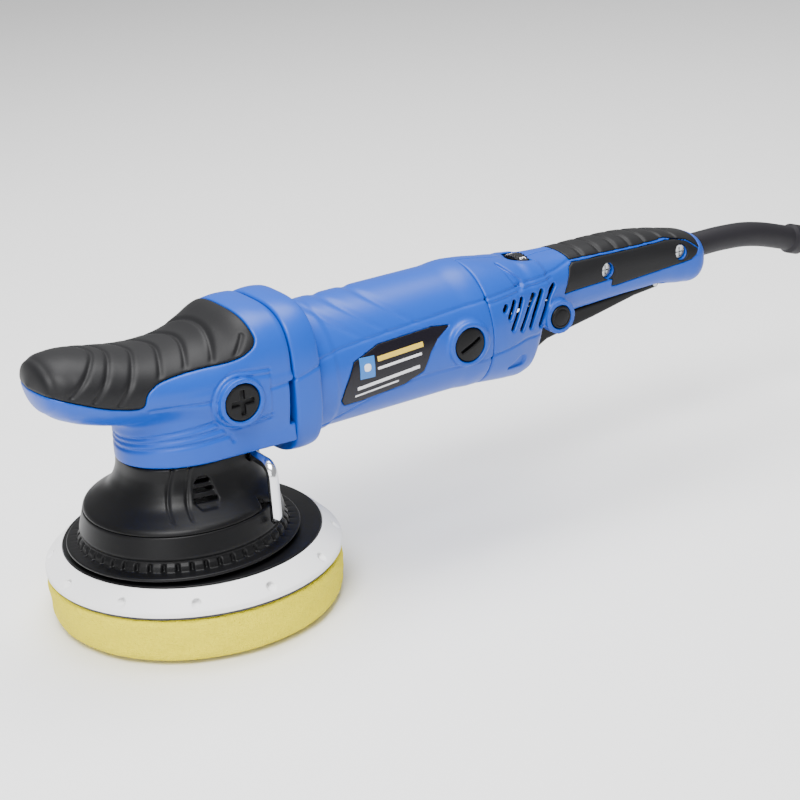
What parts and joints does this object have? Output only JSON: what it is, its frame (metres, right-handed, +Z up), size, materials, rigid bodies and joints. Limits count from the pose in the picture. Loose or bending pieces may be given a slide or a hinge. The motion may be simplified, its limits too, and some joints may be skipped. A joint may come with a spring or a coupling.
{
  "type": "dual action polisher",
  "caption": "Corded dual action polisher: hand grip over a right-angle gear head, round motor body, paddle-trigger handle, and an orbiting foam pad on a backing plate.",
  "frame": {"origin": "on the foam pad's working face, directly below the drive spindle's axis", "axes": "+Z up along the spindle, +X back along the motor towards the cord, -Y the operator's left-hand side"},
  "size_m": [0.4883, 0.1499, 0.1533],
  "materials": {
    "blue_shell": "fine moulded texture, satin",
    "black_plastic": "satin moulded",
    "black_rubber": "fine grained soft overmould",
    "white_cushion": "smooth moulded urethane",
    "yellow_foam": "open-cell foam",
    "loop_fabric": "hook-and-loop pile",
    "label_film": "gloss printed film",
    "steel": "machined",
    "bright_steel": "zinc-bright",
    "casting": "as cast",
    "copper": "enamelled wire and bars",
    "brass": "drawn",
    "carbon": "pressed carbon",
    "board": "coated board"
  },
  "bodies": {
    "housing": {"head_cover": "blue_shell", "head_grip": "black_rubber", "gear_case": "casting", "upper_bearing": "steel", "lower_bearing": "steel", "bearing_retainer": "casting", "left_side_cap": "black_plastic", "right_side_cap": "black_plastic", "shroud": "black_plastic", "skirt_ring": "black_plastic", "gear_collar": "blue_shell", "motor_housing": "blue_shell", "label_plate": "label_film", "air_baffle": "black_plastic", "stator_core": "steel", "upper_field_coil": "copper", "lower_field_coil": "copper", "front_bearing": "steel", "rear_bearing": "steel", "left_brush_holder": "brass", "right_brush_holder": "brass", "left_brush_spring": "steel", "right_brush_spring": "steel", "left_brush_cap": "black_plastic", "right_brush_cap": "black_plastic", "left_handle_half": "blue_shell", "right_handle_half": "blue_shell", "left_side_inlay": "black_rubber", "right_side_inlay": "black_rubber", "top_inlay": "black_rubber", "front_handle_screw": "steel", "rear_handle_screw": "steel", "trigger_pin": "steel", "switch_body": "black_plastic", "control_board": "board", "cord_clamp": "black_plastic", "cord_boot": "black_rubber"},
    "spindle": {"drive_spindle": "steel", "crown_gear": "steel", "eccentric_block": "casting", "pad_bearing": "steel"},
    "pad": {"foam_pad": "yellow_foam", "loop_disc": "loop_fabric", "cushion_ring": "white_cushion", "backing_plate": "black_plastic", "plate_screw": "steel", "pad_shaft": "steel"},
    "armature": {"armature_shaft": "steel", "pinion_gear": "steel", "rotor_core": "steel", "rotor_windings": "copper", "commutator": "copper", "cooling_fan": "black_plastic"},
    "trigger": {"trigger": "black_plastic"},
    "lock_button": {"lock_button": "black_plastic"},
    "speed_dial": {"speed_dial": "black_plastic"},
    "hex_key": {"hex_key": "bright_steel"},
    "left_brush": {"left_carbon_brush": "carbon"},
    "right_brush": {"right_carbon_brush": "carbon"}
  },
  "joints": [
    {"name": "spindle_spin", "type": "hinge", "parent": "housing", "child": "spindle", "pos_m": [0, 0, 0.1], "axis": [0, 0, 1], "continuous": true},
    {"name": "pad_spin", "type": "hinge", "parent": "spindle", "child": "pad", "pos_m": [0.00649, 0.00375, 0.055], "axis": [0, 0, 1], "continuous": true},
    {"name": "armature_spin", "type": "hinge", "parent": "housing", "child": "armature", "pos_m": [0.1, 0, 0.1107], "axis": [1, 0, 0], "continuous": true},
    {"name": "trigger_pull", "type": "hinge", "parent": "housing", "child": "trigger", "pos_m": [0.296, 0, 0.1055], "axis": [0, 1, 0], "range_deg": [0, 5], "stiffness_Nm_per_rad": 0.9, "springref_deg": -2.86},
    {"name": "lock_press", "type": "slide", "parent": "housing", "child": "lock_button", "axis": [0, 1, 0], "range_m": [0, 0.0035], "stiffness_N_per_m": 250, "springref_m": -0.002},
    {"name": "dial_turn", "type": "hinge", "parent": "housing", "child": "speed_dial", "pos_m": [0.211, 0, 0.124], "axis": [1, 0, 0], "range_deg": [-200, 50]},
    {"name": "key_pull", "type": "slide", "parent": "housing", "child": "hex_key", "axis": [0, -1, 0], "range_m": [0, 0.026]},
    {"name": "left_brush_slide", "type": "slide", "parent": "housing", "child": "left_brush", "axis": [0, -1, 0], "range_m": [0, 0.0025], "stiffness_N_per_m": 120, "springref_m": -0.003, "deforming": ["left_brush_spring"]},
    {"name": "right_brush_slide", "type": "slide", "parent": "housing", "child": "right_brush", "axis": [0, 1, 0], "range_m": [0, 0.0025], "stiffness_N_per_m": 120, "springref_m": -0.003, "deforming": ["right_brush_spring"]}
  ],
  "couplings": [
    {"joint": "armature_spin", "follows": "spindle_spin", "ratio": 4.5}
  ]
}
